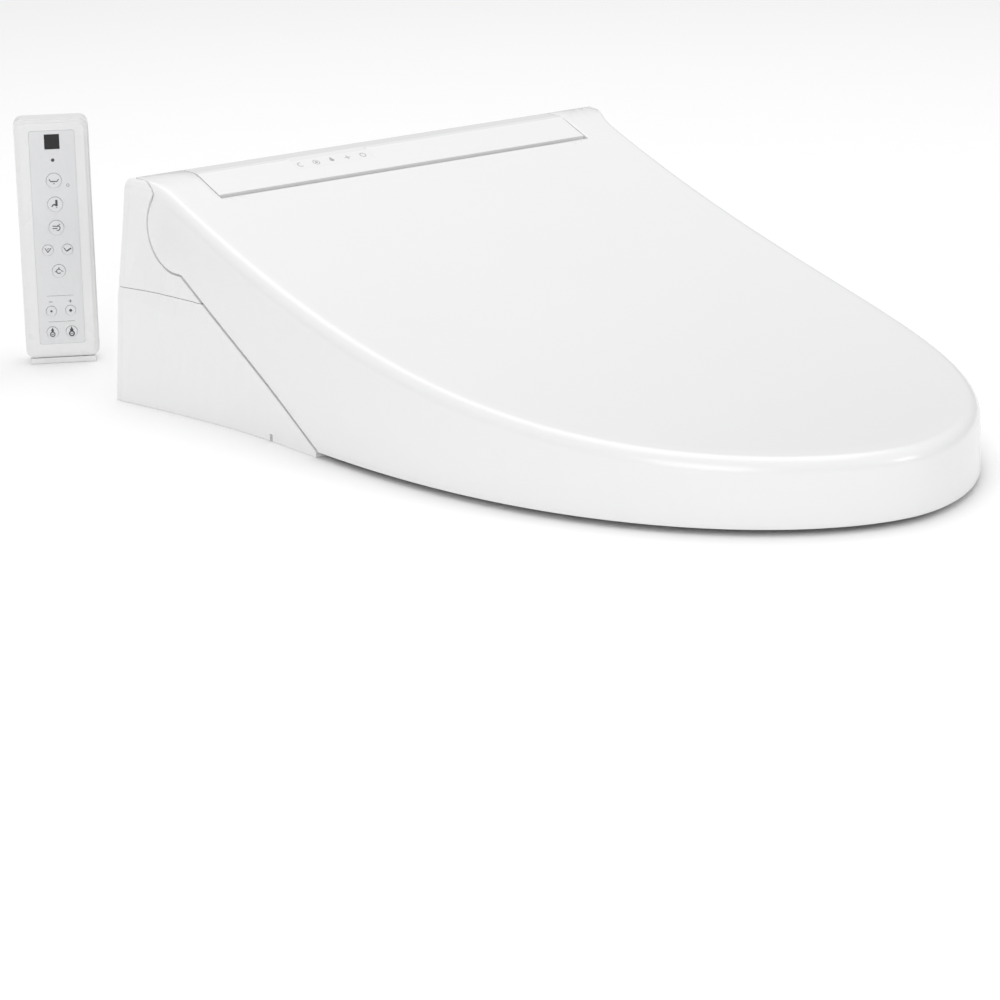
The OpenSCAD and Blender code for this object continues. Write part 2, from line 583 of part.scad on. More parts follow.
module rc_panel() color("gainsboro") difference() {
  rc_place() difference() {
    rc_slice(panel_w, rf - 0.1, rf + 0.7, rz0 + 10, rz1 - 8, 2);
    translate([-5.1, rf - 1, rz1 - 20.6]) cube([10.2, 3, 10.2]);
  }
  key_wells(0.2);
}
module rc_window() color("black") rc_place() translate([-5, rf - 0.2, rz1 - 20.5]) cube([10, 3.4, 10]);
module rc_board() color("green") rc_place()
  translate([-rc_w / 2 + 4, rf + 4.6, rz0 + 6]) cube([rc_w - 8, 1.4, rc_h - 12]);
cells_z = rz1 - 76;
module rc_cells() color("steelblue") rc_place() for (x = [-6.2, 6.2]) translate([x, rb - 8.6, cells_z + 2]) {
  cylinder(h = 44, r = 5.25, $fn = 48);
  translate([0, 0, 43.9]) cylinder(h = 1.2, r = 1.9, $fn = 24);
}
module rc_back() color("white") rc_place() difference() {
  union() {
    difference() {
      union() {
        rc_slice(rc_w, 0.1, rb - 2.4, rz0, rz1, 6);
        rc_slice(rc_w - 2.4, rb - 2.4, rb - 0.8, rz0 + 1.2, rz1 - 1.2, 5.4);
        rc_slice(rc_w - 6, rb - 0.8, rb, rz0 + 3, rz1 - 3, 4);
      }
      rc_slice(rc_w - 5, -1, rb - 2.6, rz0 + 2.5, rz1 - 2.5, 4);
    }
    // guide block around the holder's rail
    translate([-11, rb - 7.6, rz0 + 0.1]) cube([22, 6, 58]);
  }
  translate([-3.4, rb - 3.2, -1]) cube([6.8, 8, 56 + rz0]);
  translate([-6.4, rb - 5.6, -1]) cube([12.8, 3.4, 56 + rz0]);
  // battery opening with its cover seat
  translate([-12.4, rb - 5, cells_z]) cube([24.8, 8, 50]);
  translate([-14.3, rb - 1.5, cells_z - 2.2]) cube([28.6, 8, 64]);
}
module rc_cover() color("white") rc_place() translate([-14, rb - 1.4, cells_z - 2]) cube([28, 1.4, 54]);
module rc_holder() color("whitesmoke") rc_place() difference() {
  union() {
    translate([-22, rb + 0.5, 0]) cube([44, 3.5, 120]);
    translate([-22, rf + 2, 0]) cube([44, rc_t + 1, rz0 - 0.3]);
    translate([-3, rb - 2.9, 2]) cube([6, 5, 50]);
    translate([-6, rb - 5.3, 2]) cube([12, 2.8, 50]);
  }
  for (z = [66, 106]) translate([0, rb - 1, z]) rotate([-90, 0, 0]) {
    cylinder(h = 9, r = 2.2, $fn = 48);
    cylinder(h = 3.6, r1 = 4.8, r2 = 2.2, $fn = 48);
  }
}
lid_shell();
lid_buffers();
seat_top();
seat_base();
seat_heater();
seat_buffers();
lower_case();
upper_case();
top_panel();
indicator_lens();
hinge_pins();
lid_damper();
seat_damper();
case_screws();
mounting_plate();
bolt_adjusters();
release_button();
water_inlet();
cable_gland();
inlet_valve();
water_heater();
water_pump();
main_board();
power_board();
wand_track();
wand_tube();
wand_tip();
wand_motor();
wand_pinion();
wand_gate();
fan_housing();
fan_rotor();
fan_motor();
air_duct();
air_heater();
dryer_flap();
filter_drawer();
rc_front();
rc_back();
rc_panel();
rc_board();
rc_cells();
rc_cover();
rc_window();
rc_holder();
key(0);  // key_stop
key(1);  // key_rear
key(2);  // key_front
key(3);  // key_less
key(4);  // key_more
key(5);  // key_dryer
key(6);  // key_move
key(7);  // key_temp
key(8);  // key_user_a
key(9);  // key_user_b
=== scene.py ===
import math

import bmesh
import bpy
import numpy as np
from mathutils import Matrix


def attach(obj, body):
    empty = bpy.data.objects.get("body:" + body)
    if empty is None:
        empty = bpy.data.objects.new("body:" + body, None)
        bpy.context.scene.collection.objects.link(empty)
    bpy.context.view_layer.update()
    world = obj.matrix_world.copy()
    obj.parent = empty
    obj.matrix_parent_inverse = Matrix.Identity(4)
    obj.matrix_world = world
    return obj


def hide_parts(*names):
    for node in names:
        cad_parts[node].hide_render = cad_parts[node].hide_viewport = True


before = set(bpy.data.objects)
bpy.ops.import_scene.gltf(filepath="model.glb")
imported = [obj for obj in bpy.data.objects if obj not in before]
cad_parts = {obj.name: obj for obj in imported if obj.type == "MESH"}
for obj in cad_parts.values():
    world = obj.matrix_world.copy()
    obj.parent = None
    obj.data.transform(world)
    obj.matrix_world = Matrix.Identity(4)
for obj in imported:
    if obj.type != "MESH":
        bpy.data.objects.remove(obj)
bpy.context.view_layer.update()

# %% [markdown]
# # An electric bidet seat and its remote control
# The exact parts come from the imported CAD frame. This script gives them their looks: it swaps the big
# moulded shells for finer surfaces, rounds the edges of the rest, and gives every piece a material.

# %% [markdown]


# %% [markdown]
# ## The camera
# A long lens keeps the seat's long sides nearly parallel. It stands at the front left, a little above
# the lid. The small shifts slide the view sideways and down without turning the camera, so upright
# edges keep their direction.

# %% Camera
cam_data = bpy.data.cameras.new("camera")
cam_data.lens = 116.5
cam_data.sensor_width = 36.0
cam_data.shift_x = 0.0437
cam_data.shift_y = -0.0186
camera = bpy.data.objects.new("camera", cam_data)
camera.location = (-1.2523, -1.7233, 0.5551)
camera.rotation_euler = [math.radians(a) for a in (73.269, 1.099, -36.890)]
bpy.context.scene.collection.objects.link(camera)
bpy.context.scene.camera = camera
print("camera looks from", tuple(round(c, 3) for c in camera.location))


# %% [markdown]
# ## Helpers for shader nodes
# Every pattern here is noise and a little arithmetic. A node group could be wired by hand each time, but
# four small helpers keep the wiring short and make the formula readable.

# %% An empty node group with named sockets
def new_group(name, inputs, outputs):
    """Makes an empty shader node group with the given (name, type, default) inputs and outputs."""
    group = bpy.data.node_groups.new(name, "ShaderNodeTree")
    for label, kind, default in inputs:
        socket = group.interface.new_socket(label, in_out="INPUT", socket_type=kind)
        socket.default_value = default
    for label, kind in outputs:
        group.interface.new_socket(label, in_out="OUTPUT", socket_type=kind)
    return group, group.nodes.new("NodeGroupInput"), group.nodes.new("NodeGroupOutput")


# %% Noise and bump
def noise(group, vector, scale, detail):
    """A noise texture read at vector: a larger scale makes smaller blobs, detail roughens them."""
    texture = group.nodes.new("ShaderNodeTexNoise")
    texture.inputs["Scale"].default_value = scale
    texture.inputs["Detail"].default_value = detail
    group.links.new(vector, texture.inputs["Vector"])
    return texture.outputs["Fac"]


def bump(group, height, distance):
    """A bump node that turns height into a tilt of the surface, distance metres deep at full strength."""
    node = group.nodes.new("ShaderNodeBump")
    node.inputs["Distance"].default_value = distance
    group.links.new(height, node.inputs["Height"])
    return node


# %% Ranges and scaled colours
def spread(group, value, source, target):
    """Maps value from the source range to the target range, both given as (low, high)."""
    node = group.nodes.new("ShaderNodeMapRange")
    node.inputs["From Min"].default_value, node.inputs["From Max"].default_value = source
    node.inputs["To Min"].default_value, node.inputs["To Max"].default_value = target
    group.links.new(value, node.inputs["Value"])
    return node.outputs["Result"]


def shaded(group, tint, factor):
    """The colour tint times factor."""
    node = group.nodes.new("ShaderNodeVectorMath")
    node.operation = "SCALE"
    group.links.new(tint, node.inputs[0])
    group.links.new(factor, node.inputs["Scale"])
    return node.outputs[0]


print("node helpers: new_group, noise, bump, spread, shaded")


# %% [markdown]
# ## Moulded plastic
# Moulded plastic is never one flat colour: the tone drifts over a hand's width, the gloss changes where it
# was handled, and the surface rolls gently where the wall cooled unevenly. One group makes all three from
# Object coordinates, so that they stay on the piece when it moves. An image could do the same, but noise
# needs no unwrapping and has no seams.

# %% The moulding group: colour drift
BROAD, SMEAR, FINE = 9.0, 38.0, 900.0


def drift_colour(group, gin, broad):
    """Colour = tint times (1 - drift times the broad noise)."""
    fade = group.nodes.new("ShaderNodeMath")
    fade.operation = "MULTIPLY"
    group.links.new(broad, fade.inputs[0])
    group.links.new(gin.outputs["Drift"], fade.inputs[1])
    keep = group.nodes.new("ShaderNodeMath")
    keep.operation = "SUBTRACT"
    keep.inputs[0].default_value = 1.0
    group.links.new(fade.outputs[0], keep.inputs[1])
    return shaded(group, gin.outputs["Tint"], keep.outputs[0])


# %% The moulding group: gloss and surface
def moulding_group():
    """Three noises: broad for the tone and the roll, smear for the gloss, fine for the grain."""
    group, gin, gout = new_group(
        "moulding",
        [("Tint", "NodeSocketColor", (1, 1, 1, 1)), ("Gloss", "NodeSocketFloat", 0.2),
         ("Drift", "NodeSocketFloat", 0.03), ("Grain", "NodeSocketFloat", 0.1)],
        [("Color", "NodeSocketColor"), ("Roughness", "NodeSocketFloat"), ("Normal", "NodeSocketVector")])
    place = group.nodes.new("ShaderNodeTexCoord").outputs["Object"]
    broad = noise(group, place, BROAD, 3.0)
    group.links.new(drift_colour(group, gin, broad), gout.inputs["Color"])
    rough = group.nodes.new("ShaderNodeMath")
    rough.operation = "ADD"
    group.links.new(gin.outputs["Gloss"], rough.inputs[0])
    smear = spread(group, noise(group, place, SMEAR, 2.0), (0.3, 0.7), (-0.008, 0.012))
    group.links.new(smear, rough.inputs[1])
    group.links.new(rough.outputs[0], gout.inputs["Roughness"])
    grain = bump(group, noise(group, place, FINE, 4.0), 0.00003)
    group.links.new(gin.outputs["Grain"], grain.inputs["Strength"])
    roll = bump(group, broad, 0.0001)
    roll.inputs["Strength"].default_value = 0.05
    group.links.new(grain.outputs["Normal"], roll.inputs["Normal"])
    group.links.new(roll.outputs["Normal"], gout.inputs["Normal"])
    return group


MOULDING = moulding_group()
print("moulding group:", len(MOULDING.nodes), "nodes")


# %% [markdown]
# ## Drawn and turned metal
# The hinge pins, the wand's tube and the motor cans are drawn or turned, which leaves fine lines along them.
# Stretching a noise by a different amount on each axis gives such lines without any texture.

# %% The brushed group
STREAKS = (40.0, 2600.0, 2600.0)


def brushed_group():
    """Noise stretched along X: fine streaks that vary the tone and the roughness and tilt the normal."""
    group, gin, gout = new_group(
        "brushed", [("Tint", "NodeSocketColor", (1, 1, 1, 1)), ("Gloss", "NodeSocketFloat", 0.3)],
        [("Color", "NodeSocketColor"), ("Roughness", "NodeSocketFloat"), ("Normal", "NodeSocketVector")])
    stretch = group.nodes.new("ShaderNodeMapping")
    stretch.inputs["Scale"].default_value = STREAKS
    group.links.new(group.nodes.new("ShaderNodeTexCoord").outputs["Object"], stretch.inputs["Vector"])
    streak = noise(group, stretch.outputs["Vector"], 1.0, 3.0)
    tone = spread(group, streak, (0.0, 1.0), (0.82, 1.05))
    group.links.new(shaded(group, gin.outputs["Tint"], tone), gout.inputs["Color"])
    rough = group.nodes.new("ShaderNodeMath")
    rough.operation = "MULTIPLY_ADD"
    rough.inputs[1].default_value = 0.16
    group.links.new(streak, rough.inputs[0])
    group.links.new(gin.outputs["Gloss"], rough.inputs[2])
    group.links.new(rough.outputs[0], gout.inputs["Roughness"])
    lines = bump(group, streak, 0.00002)
    lines.inputs["Strength"].default_value = 0.3
    group.links.new(lines.outputs["Normal"], gout.inputs["Normal"])
    return group


BRUSHED = brushed_group()
print("brushed group:", len(BRUSHED.nodes), "nodes")


# %% [markdown]
# ## One material per finish
# Each finish is a Principled shader fed by one of the groups. The slot of a CAD piece keeps its name, and
# the material in that slot gets its nodes. A number that is the same all over the surface is set on the
# shader itself.

# %% From a finish to a material
def dress(material, tint, gloss, drift=0.03, grain=0.1, metal=0.0, coat=0.0, brushed=False):
    """Rebuilds a material's nodes: group -> Principled -> output, with constants set on the shader."""
    material.use_nodes = True
    tree = material.node_tree
    tree.nodes.clear()
    out = tree.nodes.new("ShaderNodeOutputMaterial")
    shader = tree.nodes.new("ShaderNodeBsdfPrincipled")
    group = tree.nodes.new("ShaderNodeGroup")
    group.node_tree = BRUSHED if brushed else MOULDING
    group.inputs["Tint"].default_value = (*tint, 1.0)
    group.inputs["Gloss"].default_value = gloss
    if not brushed:
        group.inputs["Drift"].default_value = drift
        group.inputs["Grain"].default_value = grain
    tree.links.new(group.outputs["Color"], shader.inputs["Base Color"])
    tree.links.new(group.outputs["Roughness"], shader.inputs["Roughness"])
    tree.links.new(group.outputs["Normal"], shader.inputs["Normal"])
    shader.inputs["Metallic"].default_value = metal
    shader.inputs["Coat Weight"].default_value = coat
    shader.inputs["Coat Roughness"].default_value = 0.06
    shader.inputs["IOR"].default_value = 1.5
    tree.links.new(shader.outputs["BSDF"], out.inputs["Surface"])
    return material


# %% [markdown]
# The white plastic is a little below full white, so that the lamps can still shape it. The lens is nearly the
# panel's own white: on the real seat its marks only show clearly when they are lit.

# %% The list of finishes
WHITE = (0.825, 0.826, 0.828)
FINISHES = {
    "white": dict(tint=WHITE, gloss=0.25, drift=0.02, grain=0.05, coat=0.2),
    "satin": dict(tint=(0.815, 0.816, 0.818), gloss=0.28, drift=0.02, grain=0.15, coat=0.1),
    "pale": dict(tint=(0.74, 0.745, 0.755), gloss=0.35, drift=0.03, grain=0.2),
    "grey": dict(tint=(0.42, 0.44, 0.47), gloss=0.42, drift=0.05, grain=0.3),
    "dark": dict(tint=(0.035, 0.036, 0.04), gloss=0.4, drift=0.2, grain=0.4),
    "rubber": dict(tint=(0.5, 0.51, 0.53), gloss=0.6, drift=0.08, grain=0.6),
    "board": dict(tint=(0.015, 0.11, 0.045), gloss=0.3, drift=0.3, grain=0.8),
    "copper": dict(tint=(0.72, 0.38, 0.13), gloss=0.35, drift=0.15, grain=0.4, metal=0.5),
    "steel": dict(tint=(0.62, 0.62, 0.64), gloss=0.2, metal=1.0, brushed=True),
    "brass": dict(tint=(0.72, 0.58, 0.3), gloss=0.2, metal=1.0, brushed=True),
    "window": dict(tint=(0.004, 0.004, 0.005), gloss=0.3, drift=0.1, grain=0.05),
    "smoke": dict(tint=(0.815, 0.816, 0.82), gloss=0.25, drift=0.02, grain=0.05, coat=0.2),
    "cell": dict(tint=(0.03, 0.09, 0.28), gloss=0.3, drift=0.1, grain=0.2, metal=0.4),
}
print("finishes:", ", ".join(FINISHES))

# %% Which piece has which finish
finish_of = {}
for finish, names in {
    "white": "lid_shell seat_top top_panel upper_case lower_case wand_tip wand_gate dryer_flap",
    "satin": "seat_base rc_front rc_back rc_cover rc_holder bolt_adjusters",
    "pale": "rc_panel wand_track fan_housing air_duct filter_drawer release_button inlet_valve water_heater",
    "grey": "mounting_plate",
    "dark": "lid_damper seat_damper cable_gland water_pump wand_pinion fan_rotor",
    "rubber": "lid_buffers seat_buffers", "board": "main_board power_board rc_board",
    "copper": "seat_heater air_heater", "steel": "hinge_pins case_screws wand_tube wand_motor fan_motor",
    "brass": "water_inlet", "window": "rc_window", "smoke": "indicator_lens", "cell": "rc_cells",
}.items():
    for name in names.split():
        finish_of[name] = finish
for name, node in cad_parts.items():
    finish = finish_of.get(name, "pale")
    for material_slot in node.material_slots:
        dress(material_slot.material, **FINISHES[finish])
print("finishes set on", len(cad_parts), "CAD pieces")


# %% [markdown]
# ## Softer edges on the CAD pieces
# Real mouldings have small radii that catch the light. A bevel modifier rounds the sharp edges. A
# geometry-nodes modifier shades gentle bends smooth and keeps real corners, which leaves the mesh of a CAD
# piece as it is.

# %% Smooth-by-angle modifier
def smooth_group(limit=32.0):
    """Geometry nodes: shade every face smooth, then mark edges bent more than limit degrees sharp."""
    tree = bpy.data.node_groups.new("smooth_by_angle", "GeometryNodeTree")
    tree.interface.new_socket("Geometry", in_out="INPUT", socket_type="NodeSocketGeometry")
    tree.interface.new_socket("Geometry", in_out="OUTPUT", socket_type="NodeSocketGeometry")
    gin, gout = tree.nodes.new("NodeGroupInput"), tree.nodes.new("NodeGroupOutput")
    faces = tree.nodes.new("GeometryNodeSetShadeSmooth")
    edges = tree.nodes.new("GeometryNodeSetShadeSmooth")
    edges.domain = "EDGE"
    edges.inputs["Shade Smooth"].default_value = False
    angle = tree.nodes.new("GeometryNodeInputMeshEdgeAngle")
    sharp = tree.nodes.new("FunctionNodeCompare")
    sharp.data_type = "FLOAT"
    sharp.operation = "GREATER_THAN"
    sharp.inputs[1].default_value = math.radians(limit)
    tree.links.new(angle.outputs["Unsigned Angle"], sharp.inputs[0])
    tree.links.new(gin.outputs[0], faces.inputs["Geometry"])
    tree.links.new(faces.outputs[0], edges.inputs["Geometry"])
    tree.links.new(sharp.outputs[0], edges.inputs["Selection"])
    tree.links.new(edges.outputs[0], gout.inputs[0])
    return tree


SMOOTH = smooth_group()


# %% A small bevel, then the shading
def soften(obj, width):
    """Adds a bevel of the given width to edges sharper than 40 degrees, then smooth-by-angle shading."""
    if width > 0:
        bevel = obj.modifiers.new("edge", "BEVEL")
        bevel.width = width
        bevel.segments = 2
        bevel.limit_method = "ANGLE"
        bevel.angle_limit = math.radians(40)
        bevel.use_clamp_overlap = True
    shade = obj.modifiers.new("shade", "NODES")
    shade.node_group = SMOOTH


# %% Edge sizes in metres: larger on the panel, smaller on the thin lens and the remote's face
EDGE = 0.0003
edge_of = {"top_panel": 0.0006, "indicator_lens": 0.0002, "rc_panel": 0.0002}
for name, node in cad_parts.items():
    soften(node, edge_of.get(name, EDGE))
print("edges softened on", len(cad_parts), "pieces")


# %% [markdown]
# ## The lid as one fine surface
# The lid is a moulded sheet: its top falls away from the hinge in a smooth curve, its edge is rounded, and
# its skirt flares a little towards the rear. It could be a subdivided cage, but its outline must meet the
# unit's exactly, so it is computed from the same three formulas as the exact parts, only more finely. Here u
# is the distance forward from the rear face.

# %% The sizes shared by the lid and the unit, in millimetres
LEN, HEIGHT, FRONT_H, LID_W, UNIT_W, TOP_W, REAR_Y = 530.0, 145.0, 44.0, 375.0, 420.0, 396.0, 55.0
CREST_W = LID_W / 2 - 1.5
RISE, FALL = HEIGHT + 7 - FRONT_H, 2.05
print(f"lid {LID_W:.0f} wide, {LEN:.0f} long, {HEIGHT:.0f} high")


# %% The height of the top
def ztop(u):
    """Front height plus the rise times (1 - u / length) to the power 2.05, capped at the unit's height by a
    smooth minimum: the lower value minus soft times the log of the sum of both exponentials."""
    a = FRONT_H + RISE * np.maximum(0.0, 1 - u / LEN) ** FALL
    soft = 0.7
    low = np.minimum(a, HEIGHT)
    return low - soft * np.log(np.exp(-(a - low) / soft) + np.exp(-(HEIGHT - low) / soft)) * 0.999


# %% The two outlines
def crest(u, inset):
    """Half width of the top's edge: a sine flare over the last 34 mm at the rear, then a superellipse
    that closes at the front."""
    q = np.clip((u - 34) / (LEN - 34 - inset), 0, 1)
    rear = TOP_W / 2 + (CREST_W - TOP_W / 2) * np.sin(np.pi / 2 * np.clip(u, 0, 34) / 34)
    return np.where(u < 34, rear, CREST_W * np.maximum(0, 1 - q ** 3.855) ** (1 / 1.703)) - inset


def foot(u, inset):
    """Half width at the lower edge: a sine flare over the rear 168 mm, then a superellipse."""
    q = np.clip((u - 168) / (LEN - 168 - inset), 0, 1)
    rear = UNIT_W / 2 + (LID_W / 2 - UNIT_W / 2) * np.sin(np.pi / 2 * np.clip(u, 0, 168) / 168)
    return np.where(u < 168, rear, LID_W / 2 * np.maximum(0, 1 - q ** 2.535) ** (1 / 1.83)) - inset


# %% [markdown]
# A grid of points becomes a mesh by joining each point to its neighbours in the next row and column. Whole
# index arrays do that at once, which is much quicker than a loop over the points.

# %% From a grid of points to a mesh
def grid_mesh(name, points, close_u=True, caps=(False, False)):
    """Joins an (rows, columns, 3) array of points in millimetres into quads, wraps the columns when
    close_u is set, and closes the first or last row with a fan to its middle when caps say so."""
    rows, cols = points.shape[:2]
    verts = points.reshape(-1, 3) * 0.001
    i, j = np.meshgrid(np.arange(rows - 1), np.arange(cols if close_u else cols - 1), indexing="ij")
    k = (j + 1) % cols
    quads = np.stack([i * cols + j, i * cols + k, (i + 1) * cols + k, (i + 1) * cols + j], -1).reshape(-1, 4)
    faces = quads.tolist()
    for cap, row, flip in ((caps[0], 0, True), (caps[1], rows - 1, False)):
        if cap:
            verts = np.vstack([verts, verts[row * cols:(row + 1) * cols].mean(0)])
            ring = row * cols + np.arange(cols)
            fan = np.stack([ring, np.roll(ring, -1), np.full(cols, len(verts) - 1)], -1)
            faces += (fan[:, [1, 0, 2]] if flip else fan).tolist()
    mesh = bpy.data.meshes.new(name)
    mesh.from_pydata(verts.tolist(), [], faces)
    mesh.polygons.foreach_set("use_smooth", np.ones(len(mesh.polygons), bool))
    mesh.update()
    obj = bpy.data.objects.new(name, mesh)
    bpy.context.scene.collection.objects.link(obj)
    return obj


# %% [markdown]
# The lid starts as a closed form that runs past its own rear edge. Rings of points go round a middle point:
# first across the top, then over the rounded edge, then down the skirt.

# %% The half outline, walked from the rear to the tip
MIDDLE = 200.0
TURN_U = MIDDLE * 0.8
OVERRUN = 25.0


def outline(inset, count=110):
    """Even steps from behind the rear face to TURN_U, then steps that shrink like a sine towards the tip.
    Returns the crest's x, the foot's x and u, for the left side and back along the right side."""
    half = np.linspace(0, 1, count + 1)
    v = np.clip((half - 0.4) / 0.6, 0, 1)
    u = np.where(half < 0.4, -OVERRUN + (TURN_U + OVERRUN) * half * 2.5,
                 TURN_U + (LEN - inset - TURN_U) * np.sin(np.pi / 2 * v))
    a, b = crest(u, inset), foot(u, inset)
    a[-1] = b[-1] = 0.0
    return np.concatenate([-a, a[-2::-1]]), np.concatenate([-b, b[-2::-1]]), np.concatenate([u, u[-2::-1]])


# %% The rings of the closed form
EDGE_R = 9.0
TOP_RINGS, EDGE_RINGS, SKIRT_RINGS = 26, 12, 14


def shell_rows(inset, z_low):
    """Rings around (0, MIDDLE): copies of the crest outline scaled by k for the top, a quarter circle of the
    edge's radius, and for the skirt a blend w = 1 - (1 - k)^1.5 from the crest to the foot outline."""
    x, low, u = outline(inset)
    radius = EDGE_R - inset * 0.6
    drop = inset * 1.05
    reach = np.hypot(x, u - MIDDLE)
    rows = []
    for k in np.linspace(0.02, 0.93, TOP_RINGS):
        uu = MIDDLE + k * (u - MIDDLE)
        rows.append(np.stack([k * x, uu, ztop(uu) - drop], -1))
    for t in np.linspace(0, np.pi / 2, EDGE_RINGS):
        k = 1 - radius * (1 - np.sin(t)) / reach
        uu = MIDDLE + k * (u - MIDDLE)
        rows.append(np.stack([k * x, uu, ztop(uu) - drop - radius * (1 - np.cos(t))], -1))
    top = ztop(u) - drop - radius
    for k in np.linspace(0, 1, SKIRT_RINGS)[1:]:
        w = 1 - (1 - k) ** 1.5
        rows.append(np.stack([x + (low - x) * w, u, top + (z_low - top) * k], -1))
    points = np.array(rows)
    points[..., 1] = REAR_Y - points[..., 1]
    return points


# %% [markdown]
# ## Cutting the lid out of its closed form
# A smaller copy hollows the form into a wall of 3 mm. Then the lid's own edges are cut: a sloping side seam, a
# round bite at the hinge line, a notch for the fixed panel. Booleans are a fair way here, because each cut
# is a plain prism. The MANIFOLD solver needs closed meshes whose faces point outwards.

# %% Prisms and outward faces
def cutter(name, profile, x0, x1):
    """A prism between x0 and x1 with a profile of (u, z) points."""
    p = np.array(profile, float)
    ring = np.stack([np.zeros(len(p)), REAR_Y - p[:, 0], p[:, 1]], -1)
    obj = grid_mesh(name, np.array([ring + [x0, 0, 0], ring + [x1, 0, 0]]), caps=(True, True))
    return obj


# %% One cut
def cut(obj, tool):
    """Takes tool away from obj, then deletes tool."""
    fix_normals(tool)
    step = obj.modifiers.new("cut", "BOOLEAN")
    step.operation = "DIFFERENCE"
    step.object = tool
    step.solver = "MANIFOLD"
    graph = bpy.context.evaluated_depsgraph_get()
    mesh = bpy.data.meshes.new_from_object(obj.evaluated_get(graph))
    obj.modifiers.clear()
    obj.data = mesh
    bpy.data.objects.remove(tool)


def fix_normals(obj):
    """Turns the faces of a closed, evenly wound mesh outward: its signed volume must be positive."""
    shape = bmesh.new()
    shape.from_mesh(obj.data)
    if shape.calc_volume(signed=True) < 0:
        bmesh.ops.reverse_faces(shape, faces=shape.faces)
    shape.to_mesh(obj.data)
    shape.free()


# %% Hollow the form
WALL = 3.0
lid = grid_mesh("lid_smooth", shell_rows(0.0, 4.0), caps=(True, True))
fix_normals(lid)
cut(lid, grid_mesh("lid_inner", shell_rows(WALL, -4.0), caps=(True, True)))
print("hollow form:", len(lid.data.polygons), "faces")

# %% The hinge line and its circle
PANEL_D = 43.0
LID_U = PANEL_D + 9
LID_Z = float(FRONT_H + RISE * (1 - LID_U / LEN) ** FALL - 8.7)
ARC = 32.2


def circle(radius, count):
    """Points (u, z) on a circle round the hinge line."""
    angles = np.linspace(0, 2 * np.pi, count + 1)[:-1]
    return [(LID_U + radius * math.cos(a), LID_Z + radius * math.sin(a)) for a in angles]


print(f"hinge line {LID_U:.1f} forward of the rear face, {LID_Z:.1f} up")

# %% The side seam: everything below a sloping line goes, except inside the circle
FAR = 300
seam = [(-60, -20), (-60, 111), (22, 111), (200, 5), (212, -20)]
seam_tool = cutter("seam_tool", seam, -FAR, FAR)
fix_normals(seam_tool)
cut(seam_tool, cutter("seam_disc", circle(ARC, 180), -FAR - 10, FAR + 10))
cut(lid, seam_tool)

# %% The unit's corner posts: the lid's rear corners go, again except inside the circle
POST_X = 187.2
behind = [(-60, -20), (-60, 300), (LID_U, 300), (LID_U, -20)]
for low_x, high_x in ((-FAR, -POST_X), (POST_X, FAR)):
    post_tool = cutter("post_tool", behind, low_x, high_x)
    fix_normals(post_tool)
    cut(post_tool, cutter("post_disc", circle(ARC, 180), low_x - 10, high_x + 10))
    cut(lid, post_tool)

# %% The rear edge and the notch for the panel
NOTCH_X = 152
cut(lid, cutter("rear_tool", [(-60, 100), (-60, 300), (1, 300), (1, 100)], -FAR, FAR))
notch = [(-60, 60), (-60, 300), (PANEL_D + 4, 300), (PANEL_D + 4, 60)]
cut(lid, cutter("notch_tool", notch, -NOTCH_X, NOTCH_X))
print("lid faces after cutting:", len(lid.data.polygons))

# %% [markdown]
# ## The lid's hinge lugs and its finish
# Two small lugs under the lid carry it on the hinge pins. Each is a plain prism with a round hole, and rides
# on the lid's body. The lid then stands for the CAD shell, which stays in the frame for collision.

# %% Hinge lugs
LUG_X0, LUG_X1, LUG_HOLE = 153, 161, 3.05
lug_profile = [(LID_U - 6, LID_Z), (LID_U - 6, LID_Z + 8), (LID_U + 22, LID_Z - 1.8),
               (LID_U + 22, LID_Z - 4), (LID_U + 3, LID_Z - 7), (LID_U - 3, LID_Z - 7)]
for side, low_x, high_x in (("left", -LUG_X1, -LUG_X0), ("right", LUG_X0, LUG_X1)):
    lug = cutter("lug", lug_profile, low_x, high_x)
    fix_normals(lug)
    cut(lug, cutter("lug_hole", circle(LUG_HOLE, 40), low_x - 5, high_x + 5))
    lug.name = "lid_lug_" + side
    lug.data.materials.clear()
    lug.data.materials.append(dress(bpy.data.materials.new("lug_white"), **FINISHES["white"]))
    soften(lug, EDGE)
    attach(lug, "lid")
    print("made", lug.name)

# %% The lid's finish, body and slot
lid.data.materials.clear()
lid.data.materials.append(dress(bpy.data.materials.new("lid_white"), **FINISHES["white"]))
soften(lid, 0.0006)
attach(lid, "lid")
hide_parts("lid_shell")
print("lid ready")


# %% [markdown]
# ## The seat ring as one fine surface
# The ring under the lid is an oval band: a domed profile carried round two ovals. It is mostly hidden when the
# lid is down, and shows when it is up. A torus would be rounder than the real thing, so the two ovals are
# superellipses, and each column of points goes a share of the way from the outer to the inner one.

# %% Ring sizes and the oval
RING_U0, RING_U1, RING_HW, HOLE_HW = 214.0, 518.0, 168.0, 98.0
RING_UC, RING_RU = (RING_U0 + RING_U1) / 2, (RING_U1 - RING_U0) / 2
BAND_W, LID_ROOM = 32, 11


def oval(a, b, e, g):
    """Superellipse point at angle g: (a |cos g|^(2/e), b |sin g|^(2/e)) with the signs of cos and sin."""
    c, s = np.cos(g), np.sin(g)
    return a * np.sign(c) * np.abs(c) ** (2 / e), b * np.sign(s) * np.abs(s) ** (2 / e)


